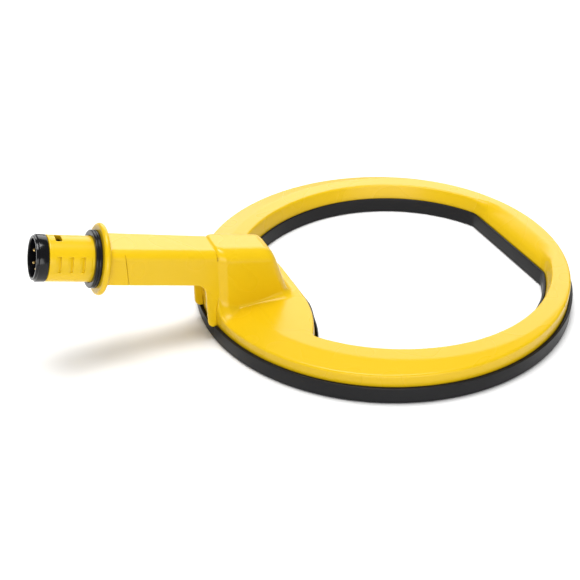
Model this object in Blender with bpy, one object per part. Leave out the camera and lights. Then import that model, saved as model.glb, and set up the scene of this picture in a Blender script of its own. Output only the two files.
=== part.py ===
"""Search-coil head of an underwater metal detector, built as separate pieces.

A flat coil ring lies on its black scuff cover. A neck cover rises from the ring's lobe and
holds a tapering arm that climbs to a round plug, where the head locks into the detector.

Units are metres and +Z is up. The model's origin is the middle of its footprint on the ground.
The ring's own frame has its centre at (RING_X, 0). The arm and the plug share one sloping axis
in the XZ plane, and a place along it is given by its distance from the plug's front rim.
"""
import math

import bmesh
import bpy
from mathutils import Matrix, Vector

MM = 0.001
GAP = 0.3 * MM                      # space kept between touching pieces

# ---- coil ring ----
RING_X = 41.1 * MM                  # ring centre from the model's origin
RING_STEPS = 72                     # sections around the ring
COVER_R = 100.0 * MM                # outer radius of the scuff cover
COVER_TOP = 8.7 * MM                # height of the scuff cover's two lips
COVER_FLOOR = 1.8 * MM              # thickness of the scuff cover's floor
COVER_CHAMFER = 1.0 * MM
NOTCH = (11.5 * MM, 7.2 * MM)       # notch in the outer lip under the legs: half width, floor
LIP = 1.2 * MM                      # thickness of the scuff cover's inner lip
SHELL_R = 98.1 * MM                 # outer radius of the yellow shell
SHELL_FOOT = 2.2 * MM               # lower edge of the shell's walls, inside the cover
SHELL_TOP = 16.45 * MM              # flat top of the ring
SHELL_WALL = 1.7 * MM
BEVEL_SLOPE = 0.17                  # fall of the shoulder bevel over its width
TOP_WIDTH = 8.9 * MM                # width of the flat top round the circular part
OFFSET = 7.9 * MM                   # how far the opening's circle lies from the ring's centre
OPEN_R = 82.1 * MM                  # radius of the opening at the top edge
OPEN_MIN = 77.9 * MM                # the opening's least distance from the centre by the neck
WALL_LEAN = 1.95 * MM               # how much the opening narrows from top to foot
CHORD_TOP = 85.6 * MM               # straight side of the opening, at the top edge
CHORD_FOOT = 80.2 * MM              # and at the foot of the yellow wall
LOBE_TOP = 52.1 * MM                # front edge of the lobe under the neck, at the top
LOBE_FOOT = 51.3 * MM               # and at the foot, away from the middle
LOBE_SWELL = 2.1 * MM               # how far the foot swells out in the middle
LOBE_FLAT = 15.0 * MM               # half length of the lobe's straight front edge
LOBE_R = 58.0 * MM                  # radius of the lobe's front corners
CORNER_BLEND = 2.0 * MM             # rounding where the chord meets the circle

# ---- inside the ring ----
PLATE_LOW = 2.5 * MM
PLATE_TOP = 4.1 * MM
BED_TOP = 6.0 * MM
WIND_R = 92.6 * MM                  # radius of the winding's centre line
WIND_Z = 8.7 * MM
WIND_WIRE_R = 1.9 * MM              # radius of the copper bundle
TAPE_R = (2.3 * MM, 2.7 * MM)       # inner and outer radius of the tape on the bundle
SHIELD_R = (3.05 * MM, 3.4 * MM)    # inner and outer radius of the shield round the tape
LOOP_STEPS = 48                     # sections round the winding

# ---- sloping axis of the arm and plug ----
TILT = math.radians(15.1)
PLUG_X = RING_X - 179.3 * MM        # centre of the plug's front rim
PLUG_Z = 61.5 * MM
ROUND = 32                          # sides of a round piece

# ---- arm ----
SEAM_X = RING_X - 139.0 * MM        # upright joint between connector tube and arm
NECK_X = RING_X - 95.0 * MM         # upright rear face of the neck cover
ARM_HALF = (11.7 * MM, 10.8 * MM)   # half width at the seam and at the neck
ARM_RISE = (9.9 * MM, 10.3 * MM)    # top above the axis at the seam and at the neck, upright
ARM_DROP = (8.1 * MM, 8.4 * MM)     # underside below the axis at the same two places
ARM_CORNER = 4.5 * MM
ARM_WALL = 2.0 * MM
SPIGOT_END = RING_X - 84.0 * MM     # end of the arm's tongue inside the neck cover
SPIGOT_TOP = 9.1 * MM               # tongue's top above the axis
SPIGOT_LOW = 7.7 * MM               # and its underside below
SPIGOT_HALF = 10.3 * MM
LEG_LEFT = RING_X - 101.8 * MM      # free edge of the two legs
LEG_FOOT = 7.6 * MM
LEG_WALL = 1.8 * MM
LEG_CORNER = 3.4 * MM
LEG_FILLET = 4.5 * MM

# ---- neck cover ----
NECK_HALF = (12.6 * MM, 11.6 * MM)  # half width at the rear face and at the front
NECK_RAISE = (11.5 * MM, 12.5 * MM) # its top above the arm's axis, at the rear and the shoulder
NECK_CORNER = 6.0 * MM
NECK_WALL = 1.7 * MM
NECK_SHOULDER_X = RING_X - 68.0 * MM
NECK_FRONT_TOP = (RING_X - 65.7 * MM, 42.2 * MM)
NECK_FRONT_FOOT = (RING_X - 58.2 * MM, 17.0 * MM)
NECK_SILL = 27.5 * MM               # rear wall of the neck below the arm's tongue

# ---- connector tube: distances along the axis, then radii ----
TUBE_FRONT = 5.8 * MM
GASKET_FRONT = 26.2 * MM
BEAD_FRONT = 29.4 * MM
BEAD_BACK = 32.2 * MM
TUBE_R = 10.8 * MM
TUBE_BORE = 8.6 * MM
BEAD_R = 17.0 * MM
GASKET_R = 13.7 * MM
TAIL_R = 5.4 * MM                   # tail of the tube inside the arm
TAIL_BORE = 4.0 * MM
BORE_END = 27.0 * MM                # where the wide bore narrows to the tail's
TAIL_END = 52.0 * MM
RIB_STARTS = (6.4 * MM, 11.05 * MM, 16.5 * MM, 21.95 * MM)
RIB_WIDTH = 3.0 * MM
RIB_PANEL = (6.0 * MM, 25.5 * MM)
RIB_DEPTH = 0.45 * MM
RIB_ARC = (math.radians(60), math.radians(101))    # from the tube's top line, both sides
SLOT_PLACE = 10.6 * MM
SLOT_SIZE = (2.8 * MM, 5.6 * MM)

# ---- plug ----
PLUG_R = 11.0 * MM
RIM_R = 10.2 * MM
RIM_BORE = 8.9 * MM
BARREL_R = 8.25 * MM
BARREL_BORE = 7.2 * MM
BARREL_END = 19.0 * MM
INSULATOR_R = 6.9 * MM
INSULATOR = (7.2 * MM, 14.6 * MM)
PIN_COUNT = 5
PIN_CIRCLE = 5.0 * MM
PIN_R = 0.75 * MM
PIN_ENDS = (1.3 * MM, 17.6 * MM)
WIRE_R = 0.5 * MM
CABLE_R = 2.5 * MM
CABLE_START = 25.0 * MM             # distance along the axis

YELLOW = (0.83, 0.56, 0.012, 1.0)
BLACK = (0.022, 0.022, 0.024, 1.0)
RUBBER = (0.012, 0.012, 0.013, 1.0)
COPPER = (0.62, 0.25, 0.11, 1.0)
GOLD = (0.85, 0.6, 0.2, 1.0)
TAPE_TAN = (0.55, 0.38, 0.16, 1.0)
FOIL = (0.6, 0.61, 0.63, 1.0)
EPOXY = (0.06, 0.05, 0.045, 1.0)


# ------------------------------------------------------------------ helpers

def clear_scene():
    for obj in list(bpy.data.objects):
        bpy.data.objects.remove(obj, do_unlink=True)


def material(name, colour, roughness, metallic=0.0):
    mat = bpy.data.materials.new(name)
    mat.use_nodes = True
    shader = mat.node_tree.nodes["Principled BSDF"]
    shader.inputs["Base Color"].default_value = colour
    shader.inputs["Roughness"].default_value = roughness
    shader.inputs["Metallic"].default_value = metallic
    return mat


def finish(name, bm, mat, smooth_angle=35.0):
    """Turn a bmesh into a named object with outward normals."""
    bmesh.ops.remove_doubles(bm, verts=bm.verts, dist=1e-7)
    bmesh.ops.recalc_face_normals(bm, faces=bm.faces)
    mesh = bpy.data.meshes.new(name)
    bm.to_mesh(mesh)
    bm.free()
    mesh.shade_smooth()
    mesh.set_sharp_from_angle(angle=math.radians(smooth_angle))
    if mat:
        mesh.materials.append(mat)
    obj = bpy.data.objects.new(name, mesh)
    bpy.context.collection.objects.link(obj)
    return obj


def skin(bm, loops, closed):
    """Join loops of equal length with quads; cap the two ends unless the chain is closed."""
    rows = [[bm.verts.new(p) for p in loop] for loop in loops]
    count = len(rows[0])
    pairs = list(zip(rows, rows[1:]))
    if closed:
        pairs.append((rows[-1], rows[0]))
    for low, high in pairs:
        for i in range(count):
            j = (i + 1) % count
            bm.faces.new((low[i], low[j], high[j], high[i]))
    if not closed:
        bm.faces.new(rows[0])
        bm.faces.new(rows[-1][::-1])


def loft(name, loops, mat, closed=False, smooth_angle=35.0):
    bm = bmesh.new()
    skin(bm, loops, closed)
    return finish(name, bm, mat, smooth_angle)


def boolean(obj, other, operation):
    mod = obj.modifiers.new(other.name, "BOOLEAN")
    mod.operation = operation
    mod.solver = "EXACT"
    mod.object = other


def guide(obj):
    obj.hide_render = True
    obj.display_type = "WIRE"
    return obj


def rounded_box(half_width, low, high, corner, steps=3, square_foot=False):
    """Outline (y, z) of an upright section; square_foot keeps the two lower corners sharp."""
    points = []
    corners = (
        (half_width, high, 0.0),
        (-half_width, high, 90.0),
        (-half_width, low, 180.0),
        (half_width, low, 270.0),
    )
    for y, z, start in corners:
        r = 0.02 * MM if square_foot and z == low else corner
        cy = y - math.copysign(r, y)
        cz = z + r if z == low else z - r
        for k in range(steps + 1):
            a = math.radians(start + 90.0 * k / steps)
            points.append((cy + r * math.cos(a), cz + r * math.sin(a)))
    return points


# ------------------------------------------------------------------ ring outlines

def soft_min(a, b, blend):
    h = max(blend - abs(a - b), 0.0) / blend
    return min(a, b) - h * h * blend * 0.25


def lobe_distance(angle, front, swell):
    """Distance from the ring's centre to the lobe's curved front edge, at a polar angle."""
    phi = math.pi - abs(angle)
    near, far = 0.0, 2.0 * COVER_R
    for _ in range(40):
        mid = 0.5 * (near + far)
        across = mid * math.sin(phi)
        side = max(across - LOBE_FLAT, 0.0)
        t = min(max((across - 10.0 * MM) / (17.0 * MM), 0.0), 1.0)
        edge = front - swell * (1.0 - t * t * (3.0 - 2.0 * t)) + side * side / (2.0 * LOBE_R)
        if mid * math.cos(phi) < edge:
            near = mid
        else:
            far = mid
    return near


def opening(angle, inset, chord, lobe, swell):
    """Radius of the ring's opening: an offset circle, a straight side and the lobe."""
    radius = OFFSET * math.cos(angle) + math.sqrt(OPEN_R ** 2 - (OFFSET * math.sin(angle)) ** 2)
    radius = -soft_min(-radius, -OPEN_MIN, CORNER_BLEND) - inset
    if math.cos(angle) > 0.2:
        radius = soft_min(radius, chord / math.cos(angle), CORNER_BLEND)
    if math.cos(angle) < -0.2:
        radius = min(radius, lobe_distance(angle, lobe, swell))
    return radius


def top_edge(angle):
    return opening(angle, 0.0, CHORD_TOP, LOBE_TOP, 0.0)


def foot_edge(angle, inward=0.0):
    return opening(angle, WALL_LEAN + inward, CHORD_FOOT - inward, LOBE_FOOT - inward, LOBE_SWELL)


def bevel_start(angle):
    """Outer edge of the flat top, where the shoulder bevel begins."""
    radius = OFFSET * math.cos(angle) + math.sqrt(OPEN_R ** 2 - (OFFSET * math.sin(angle)) ** 2)
    radius = -soft_min(-radius, -OPEN_MIN, CORNER_BLEND) + TOP_WIDTH
    return min(radius, SHELL_R - 0.8 * MM)


def shoulder_height(angle):
    return SHELL_TOP - BEVEL_SLOPE * (SHELL_R - bevel_start(angle))


def ring_loft(name, section, mat):
    """Sweep a section given as (radius, height) points round the ring."""
    loops = []
    for k in range(RING_STEPS):
        angle = math.tau * k / RING_STEPS - math.pi
        c, s = math.cos(angle), math.sin(angle)
        loops.append([(RING_X + r * c, r * s, z) for r, z in section(angle)])
    return loft(name, loops, mat, closed=True)


# ------------------------------------------------------------------ sloping axis

def axis_height(x):
    return PLUG_Z - (x - PLUG_X) * math.tan(TILT)


def on_axis(obj):
    """Place an object whose own +X runs from the plug's rim towards the ring."""
    obj.location = (PLUG_X, 0.0, PLUG_Z)
    obj.rotation_euler = (0.0, TILT, 0.0)
    return obj


def turned(name, profile, mat, steps=ROUND, closed=False):
    """Turn (distance, radius) points about the sloping axis; closed makes a ring."""
    loops = []
    for k in range(steps):
        a = math.tau * k / steps
        loops.append([(s, r * math.sin(a), r * math.cos(a)) for s, r in profile])
    bm = bmesh.new()
    if closed:
        skin(bm, loops, True)
    else:
        rows = [[bm.verts.new(p) for p in loop] for loop in zip(*loops)]
        for low, high in zip(rows, rows[1:]):
            for i in range(steps):
                j = (i + 1) % steps
                bm.faces.new((low[i], low[j], high[j], high[i]))
        bm.faces.new(rows[0])
        bm.faces.new(rows[-1][::-1])
    return on_axis(finish(name, bm, mat))


def arc_block(name_mesh, start, end, r_low, r_high, a_low, a_high, steps=4):
    """Sector of a tube between two distances, two radii and two angles, added to a bmesh."""
    loops = []
    for k in range(steps + 1):
        a = a_low + (a_high - a_low) * k / steps
        y, z = -math.sin(a), math.cos(a)
        corners = ((start, r_low), (end, r_low), (end, r_high), (start, r_high))
        loops.append([(s, r * y, r * z) for s, r in corners])
    skin(name_mesh, loops, False)


def tube_along(name, points, radius, mat, sides=8):
    """Round tube with flat ends along a list of points in the XZ plane or near it."""
    path = [Vector(p) for p in points]
    loops = []
    side = Vector((0.0, 1.0, 0.0))
    for k, p in enumerate(path):
        before = path[max(k - 1, 0)]
        after = path[min(k + 1, len(path) - 1)]
        run = (after - before).normalized()
        up = run.cross(side).normalized()
        out = up.cross(run).normalized()
        ring = []
        for i in range(sides):
            a = math.tau * i / sides
            ring.append(p + radius * (math.cos(a) * up + math.sin(a) * out))
        loops.append(ring)
    return loft(name, loops, mat)


def smooth_route(points, per_span=4):
    """Catmull-Rom curve through the given points."""
    ends = [2 * Vector(points[0]) - Vector(points[1])]
    ends += [Vector(p) for p in points]
    ends.append(2 * Vector(points[-1]) - Vector(points[-2]))
    out = []
    for a, b, c, d in zip(ends, ends[1:], ends[2:], ends[3:]):
        for k in range(per_span):
            t = k / per_span
            out.append(0.5 * (2 * b + (c - a) * t + (2 * a - 5 * b + 4 * c - d) * t * t
                              + (3 * b - a - 3 * c + d) * t ** 3))
    out.append(Vector(points[-1]))
    return out


# ------------------------------------------------------------------ ring pieces

def shell_section(angle):
    top_in, foot = top_edge(angle), foot_edge(angle)
    start, shoulder = bevel_start(angle), shoulder_height(angle)
    ceiling = SHELL_TOP - SHELL_WALL
    lean = top_in - foot
    return [
        (foot, SHELL_FOOT),
        (foot, COVER_TOP),
        (top_in - 0.15 * lean, SHELL_TOP - 1.1 * MM),
        (top_in + 0.8 * MM, SHELL_TOP),
        (start, SHELL_TOP),
        (SHELL_R - 0.7 * MM, shoulder),
        (SHELL_R, shoulder - 1.0 * MM),
        (SHELL_R, SHELL_FOOT),
        (SHELL_R - SHELL_WALL, SHELL_FOOT),
        (SHELL_R - SHELL_WALL, shoulder - SHELL_WALL - 0.6 * MM),
        (min(start, SHELL_R - SHELL_WALL - 0.6 * MM), ceiling),
        (top_in + SHELL_WALL, ceiling),
        (foot + SHELL_WALL, COVER_TOP),
        (foot + SHELL_WALL, SHELL_FOOT),
    ]


def neck_stations(inset):
    """Upright sections of the neck cover: x, half width and top height, rear to front."""
    fx, fz = NECK_FRONT_TOP
    gx, gz = NECK_FRONT_FOOT
    rear_top = axis_height(NECK_X) + NECK_RAISE[0] - inset
    shoulder_top = axis_height(NECK_SHOULDER_X) + NECK_RAISE[1] - inset
    front_x, foot_x = fx - inset, gx - inset
    spans = [
        (NECK_X, rear_top),
        (NECK_SHOULDER_X, shoulder_top),
        (NECK_SHOULDER_X + 1.4 * MM, shoulder_top - 0.8 * MM),
        (front_x, fz - inset - 0.3 * MM),
        (front_x + 0.35 * (foot_x - front_x), fz - inset - 0.36 * (fz - gz)),
        (foot_x, gz - 1.6 * MM),
    ]
    stations = []
    for x, top in spans:
        t = (x - NECK_X) / (gx - NECK_X)
        half = NECK_HALF[0] + (NECK_HALF[1] - NECK_HALF[0]) * t - inset
        stations.append((x, half, top))
    return stations


def make_top_shell(mat):
    shell = ring_loft("coil_top_shell", shell_section, mat)
    base = SHELL_TOP - 3.2 * MM
    loops = []
    for x, half, top in neck_stations(0.0):
        corner = min(NECK_CORNER, 0.45 * (top - base))
        outline = rounded_box(half, base, top, corner, square_foot=True)
        loops.append([(x, y, z) for y, z in outline])
    neck = guide(loft("neck_outside", loops, None))
    boolean(shell, neck, "UNION")

    floor = PLATE_TOP + 1.5 * MM
    inner = neck_stations(NECK_WALL)
    loops = []
    rear = (NECK_X + NECK_WALL, inner[0][1], inner[0][2] - NECK_WALL * math.tan(TILT))
    for x, half, top in [rear] + inner[1:-1]:
        corner = min(NECK_CORNER - NECK_WALL, 0.45 * (top - floor))
        outline = rounded_box(half, floor, top, corner, square_foot=True)
        loops.append([(x, y, z) for y, z in outline])
    hollow = guide(loft("neck_hollow", loops, None))
    boolean(shell, hollow, "DIFFERENCE")

    loops = []
    for x in (NECK_X - 1.0 * MM, NECK_X + 2.0 * NECK_WALL):
        mid = axis_height(x)
        outline = rounded_box(SPIGOT_HALF + GAP, NECK_SILL, mid + SPIGOT_TOP + 1.4 * GAP,
                              NECK_CORNER - NECK_WALL)
        loops.append([(x, y, z) for y, z in outline])
    mouth = guide(loft("neck_mouth", loops, None))
    boolean(shell, mouth, "DIFFERENCE")
    return shell


def make_scuff_cover(mat):
    def section(angle):
        face, back = foot_edge(angle, GAP + LIP), foot_edge(angle, GAP)
        wall = SHELL_R + GAP
        return [
            (face + COVER_CHAMFER, 0.0),
            (face, COVER_CHAMFER),
            (face, COVER_TOP),
            (back, COVER_TOP),
            (back, COVER_FLOOR),
            (wall, COVER_FLOOR),
            (wall, COVER_TOP),
            (COVER_R, COVER_TOP),
            (COVER_R, COVER_CHAMFER),
            (COVER_R - COVER_CHAMFER, 0.0),
        ]
    cover = ring_loft("scuff_cover", section, mat)
    half, floor = NOTCH
    loops = []
    for x in (RING_X - COVER_R - 2.0 * MM, RING_X - SHELL_R + 2.5 * MM):
        loops.append([(x, -half, floor), (x, half, floor), (x, half, 12.0 * MM), (x, -half, 12.0 * MM)])
    boolean(cover, guide(loft("leg_notch", loops, None)), "DIFFERENCE")
    return cover


def make_bottom_plate(mat):
    def section(angle):
        inner = foot_edge(angle) + SHELL_WALL + GAP
        outer = SHELL_R - SHELL_WALL - GAP
        return [(inner, PLATE_LOW), (inner, PLATE_TOP), (outer, PLATE_TOP), (outer, PLATE_LOW)]
    return ring_loft("coil_bottom_plate", section, mat)


def make_potting_bed(mat):
    low, edge = PLATE_TOP + GAP, 0.5 * MM
    groove = math.sqrt((SHIELD_R[1] + GAP) ** 2 - (WIND_Z - BED_TOP) ** 2)

    def section(angle):
        inner = max(foot_edge(angle) + SHELL_WALL + edge, WIND_R - 5.6 * MM)
        outer = SHELL_R - SHELL_WALL - edge
        return [
            (inner, low),
            (inner, BED_TOP),
            (WIND_R - groove, BED_TOP),
            (WIND_R, WIND_Z - SHIELD_R[1] - GAP),
            (WIND_R + groove, BED_TOP),
            (outer, BED_TOP),
            (outer, low),
        ]
    return ring_loft("potting_bed", section, mat)


def loop_point(angle, radius, turn):
    r = WIND_R + radius * math.cos(turn)
    return (RING_X + r * math.cos(angle), r * math.sin(angle), WIND_Z + radius * math.sin(turn))


def make_winding(mat, sides=6):
    loops = []
    for k in range(LOOP_STEPS):
        angle = math.tau * k / LOOP_STEPS - math.pi
        loops.append([loop_point(angle, WIND_WIRE_R, math.tau * i / sides) for i in range(sides)])
    return loft("copper_winding", loops, mat, closed=True)


def make_sleeve(name, radii, skip, mat, sides=6):
    """Open sleeve round the winding, parted near the neck where the leads come out."""
    inner, outer = radii
    bm = bmesh.new()
    rows = []
    for k in range(skip, LOOP_STEPS - skip + 1):
        angle = math.tau * k / LOOP_STEPS - math.pi
        pair = []
        for radius in (inner, outer):
            pair.append([bm.verts.new(loop_point(angle, radius, math.tau * i / sides))
                         for i in range(sides)])
        rows.append(pair)
    for low, high in zip(rows, rows[1:]):
        for layer in (0, 1):
            for i in range(sides):
                j = (i + 1) % sides
                bm.faces.new((low[layer][i], low[layer][j], high[layer][j], high[layer][i]))
    for inside, outside in (rows[0], rows[-1]):
        for i in range(sides):
            j = (i + 1) % sides
            bm.faces.new((inside[i], inside[j], outside[j], outside[i]))
    return finish(name, bm, mat)


# ------------------------------------------------------------------ arm

def arm_outline(x, inset):
    t = (x - SEAM_X) / (NECK_X - SEAM_X)
    half = ARM_HALF[0] + (ARM_HALF[1] - ARM_HALF[0]) * t - inset
    rise = ARM_RISE[0] + (ARM_RISE[1] - ARM_RISE[0]) * t - inset
    drop = ARM_DROP[0] + (ARM_DROP[1] - ARM_DROP[0]) * t - inset
    mid = axis_height(x)
    outline = rounded_box(half, mid - drop, mid + rise, ARM_CORNER - inset)
    return [(x, y, z) for y, z in outline]


def tongue_outline(x, inset):
    mid = axis_height(x)
    outline = rounded_box(SPIGOT_HALF - inset, mid - SPIGOT_LOW + inset,
                          mid + SPIGOT_TOP - inset, ARM_CORNER - inset)
    return [(x, y, z) for y, z in outline]


def leg_profile():
    """Outline (x, z) of one leg, from the arm's underside round its free edge to the neck."""
    under = axis_height(LEG_LEFT) - ARM_DROP[1] + 0.6 * MM
    points = []
    for k in range(4):
        a = math.radians(90.0 - 30.0 * k)
        points.append((LEG_LEFT - LEG_FILLET + LEG_FILLET * math.cos(a),
                       under - LEG_FILLET + LEG_FILLET * math.sin(a)))
    for k in range(4):
        a = math.radians(180.0 + 30.0 * k)
        points.append((LEG_LEFT + LEG_CORNER + LEG_CORNER * math.cos(a),
                       LEG_FOOT + LEG_CORNER + LEG_CORNER * math.sin(a)))
    wall = RING_X - SHELL_R - GAP
    rest = shoulder_height(math.pi) + 0.9 * MM
    back = NECK_X - GAP
    points += [(wall, LEG_FOOT), (wall, rest), (back, rest), (back, under + 4.0 * MM)]
    points.append((LEG_LEFT - LEG_FILLET - 1.5 * MM, under + 4.0 * MM))
    return points


def make_arm(mat):
    back = NECK_X - GAP
    loops = [
        arm_outline(SEAM_X + GAP / 2, 0.0),
        arm_outline(back, 0.0),
        tongue_outline(back, 0.0),
        tongue_outline(SPIGOT_END, 0.0),
        tongue_outline(SPIGOT_END, ARM_WALL - 0.4 * MM),
        tongue_outline(back - 2.0 * MM, ARM_WALL - 0.4 * MM),
        arm_outline(back - 5.0 * MM, ARM_WALL),
        arm_outline(SEAM_X + GAP / 2, ARM_WALL),
    ]
    arm = loft("arm_shell", loops, mat, closed=True)
    outer = ARM_HALF[1] - 0.02 * MM
    for side, label in ((-1, "near"), (1, "far")):
        loops = []
        for y in (side * (outer - LEG_WALL), side * outer):
            loops.append([(x, y, z) for x, z in leg_profile()])
        boolean(arm, guide(loft("leg_" + label, loops, None)), "UNION")
    return arm


def make_seal_plug(mat):
    front, back = RING_X - 92.5 * MM, RING_X - 86.5 * MM
    inset = ARM_WALL - 0.4 * MM + GAP
    block = loft("arm_seal_plug", [tongue_outline(front, inset), tongue_outline(back, inset)], mat)
    hole = []
    for x in (front - 2.0 * MM, back + 2.0 * MM):
        hole.append([(x, (CABLE_R + 2 * GAP) * math.sin(math.tau * k / 12),
                      axis_height(x) + (CABLE_R + 2 * GAP) * math.cos(math.tau * k / 12))
                     for k in range(12)])
    boolean(block, guide(loft("seal_hole", hole, None)), "DIFFERENCE")
    return block


# ------------------------------------------------------------------ connector tube and plug

def make_connector_tube(mat):
    mid, half = 0.5 * (BEAD_FRONT + BEAD_BACK), 0.5 * (BEAD_BACK - BEAD_FRONT)
    profile = [(TUBE_FRONT, TUBE_R), (BEAD_FRONT, TUBE_R)]
    for k in range(5):
        a = math.radians(180.0 - 45.0 * k)
        profile.append((mid + half * math.cos(a), BEAD_R - half + half * math.sin(a)))
    profile += [(BEAD_BACK, 7.2 * MM), (38.5 * MM, 7.2 * MM), (38.5 * MM, TAIL_R),
                (TAIL_END, TAIL_R)]
    tube = turned("connector_tube", profile, mat)

    c, s = math.cos(TILT), math.sin(TILT)
    seam = arm_outline(SEAM_X - GAP / 2, 0.0)
    front = []
    for x, y, z in seam:
        run = (x - PLUG_X) * c - (z - PLUG_Z) * s - mid
        front.append((x - run * c, y, z + run * s))
    boolean(tube, guide(loft("collar_block", [front, seam], None)), "UNION")

    bore = [(TUBE_FRONT - 1.0 * MM, TUBE_BORE), (BORE_END, TUBE_BORE), (BORE_END, TAIL_BORE),
            (TAIL_END + 1.0 * MM, TAIL_BORE)]
    boolean(tube, guide(turned("tube_bore", bore, None)), "DIFFERENCE")

    stops = [RIB_PANEL[0]] + list(RIB_STARTS)
    gaps = [(RIB_PANEL[0], RIB_STARTS[0])]
    for start, following in zip(RIB_STARTS, RIB_STARTS[1:]):
        gaps.append((start + RIB_WIDTH, following))
    gaps.append((RIB_STARTS[-1] + RIB_WIDTH, RIB_PANEL[1]))
    low, high = RIB_ARC
    bm = bmesh.new()
    for start, end in gaps:
        for sign in (1, -1):
            arc_block(bm, start, end, TUBE_R - RIB_DEPTH, TUBE_R + 1.0 * MM, sign * low, sign * high)
    boolean(tube, guide(on_axis(finish("rib_gaps", bm, None))), "DIFFERENCE")

    bm = bmesh.new()
    bmesh.ops.create_cube(bm, size=1.0, matrix=Matrix.LocRotScale(
        Vector((SLOT_PLACE, 0.0, TUBE_R)), None, Vector((SLOT_SIZE[0], SLOT_SIZE[1], 6.0 * MM))))
    boolean(tube, guide(on_axis(finish("slot_block", bm, None))), "DIFFERENCE")
    return tube


def make_gasket(mat):
    front, back, inner = GASKET_FRONT, BEAD_FRONT - GAP, TUBE_R + GAP
    width = back - front
    profile = [
        (front, inner),
        (front, GASKET_R - 0.4 * MM),
        (front + 0.15 * width, GASKET_R),
        (front + 0.40 * width, GASKET_R),
        (front + 0.50 * width, GASKET_R - 0.4 * MM),
        (front + 0.60 * width, GASKET_R),
        (back, GASKET_R),
        (back, inner),
    ]
    return turned("flange_gasket", profile, mat, closed=True)


def make_plug_shell(mat):
    head_back = TUBE_FRONT - GAP
    groove, groove_low, groove_high = 7.4 * MM, 10.0 * MM, 12.0 * MM
    profile = [
        (0.0, RIM_BORE + 0.3 * MM),
        (0.0, RIM_R),
        (0.9 * MM, RIM_R),
        (1.3 * MM, PLUG_R),
        (head_back, PLUG_R),
        (head_back, BARREL_R),
        (groove_low, BARREL_R),
        (groove_low, groove + 0.25 * MM),
        (groove_high, groove + 0.25 * MM),
        (groove_high, BARREL_R),
        (BARREL_END, BARREL_R),
        (BARREL_END, BARREL_BORE),
        (4.9 * MM, BARREL_BORE),
        (4.9 * MM, RIM_BORE),
        (0.5 * MM, RIM_BORE),
    ]
    return turned("plug_shell", profile, mat, closed=True)


def make_o_ring(mat, sides=6):
    middle, centre, cord = 11.0 * MM, 8.17 * MM, 0.24 * MM
    profile = []
    for i in range(sides):
        a = math.tau * i / sides
        profile.append((middle + 2.4 * cord * math.cos(a), centre + cord * math.sin(a)))
    return turned("plug_o_ring", profile, mat, closed=True)


def pin_centres():
    for k in range(PIN_COUNT):
        a = math.radians(90.0) + math.tau * k / PIN_COUNT
        yield PIN_CIRCLE * math.cos(a), PIN_CIRCLE * math.sin(a)


def rod(bm, start, end, radius, y, z, sides=10, nose=0.0):
    """Straight rod along the sloping axis at (y, z) beside it, with an optional rounded nose."""
    stops = [(start, radius)] if not nose else [(start, 0.45 * radius), (start + nose, radius)]
    stops.append((end, radius))
    loops = []
    for s, r in stops:
        loops.append([(s, y + r * math.sin(math.tau * i / sides),
                       z + r * math.cos(math.tau * i / sides)) for i in range(sides)])
    skin(bm, loops, False)


def make_insulator(mat):
    block = turned("contact_insulator", [(INSULATOR[0], INSULATOR_R), (INSULATOR[1], INSULATOR_R)],
                   mat, steps=24)
    bm = bmesh.new()
    for y, z in pin_centres():
        rod(bm, INSULATOR[0] - 1.0 * MM, INSULATOR[1] + 1.0 * MM, PIN_R + GAP, y, z)
    boolean(block, guide(on_axis(finish("pin_holes", bm, None))), "DIFFERENCE")
    return block


def make_pins(mat):
    for k, (y, z) in enumerate(pin_centres(), 1):
        bm = bmesh.new()
        rod(bm, PIN_ENDS[0], PIN_ENDS[1], PIN_R, y, z, nose=0.6 * MM)
        on_axis(finish("contact_pin_%d" % k, bm, mat))


def make_retaining_ring(mat):
    front = INSULATOR[1] + GAP
    inner = PIN_CIRCLE + PIN_R + 0.45 * MM
    profile = [(front, inner), (front, INSULATOR_R), (front + 1.4 * MM, INSULATOR_R),
               (front + 1.4 * MM, inner)]
    return turned("insulator_ring", profile, mat, steps=24, closed=True)


def axis_point(distance, y=0.0, up=0.0):
    return (PLUG_X + distance * math.cos(TILT) + up * math.sin(TILT), y,
            PLUG_Z - distance * math.sin(TILT) + up * math.cos(TILT))


def make_plug_wires(mat):
    for k, (y, z) in enumerate(pin_centres(), 1):
        start = PIN_ENDS[1] + GAP
        end = CABLE_START - GAP
        points = []
        for i in range(5):
            t = i / 4
            pull = 1.0 - 0.68 * (3 * t * t - 2 * t ** 3)
            points.append(axis_point(start + (end - start) * t, y * pull, z * pull))
        tube_along("plug_wire_%d" % k, points, WIRE_R, mat, sides=6)


def cable_end():
    return (RING_X - 79.5 * MM, 0.0, 14.0 * MM)


def make_cable(mat):
    route = [axis_point(CABLE_START), axis_point(96.5 * MM)]
    bend = [(RING_X - 81.3 * MM, 0.0, 33.6 * MM), (RING_X - 79.0 * MM, 0.0, 28.5 * MM),
            (RING_X - 78.6 * MM, 0.0, 22.0 * MM), cable_end()]
    return tube_along("lead_cable", route[:1] + smooth_route(route[1:] + bend, 3), CABLE_R, mat)


def make_gland(mat):
    """Rubber grommet that holds the cable where it drops into the ring."""
    x, _, z = cable_end()
    inner, outer, low, high = CABLE_R + 2 * GAP, 5.4 * MM, z + 0.2 * MM, z + 4.4 * MM
    loops = []
    for k in range(16):
        a = math.tau * k / 16
        loops.append([(x + r * math.cos(a), r * math.sin(a), h)
                      for r, h in ((inner, low), (outer, low), (outer, high), (inner, high))])
    return loft("lead_grommet", loops, mat, closed=True)


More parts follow.
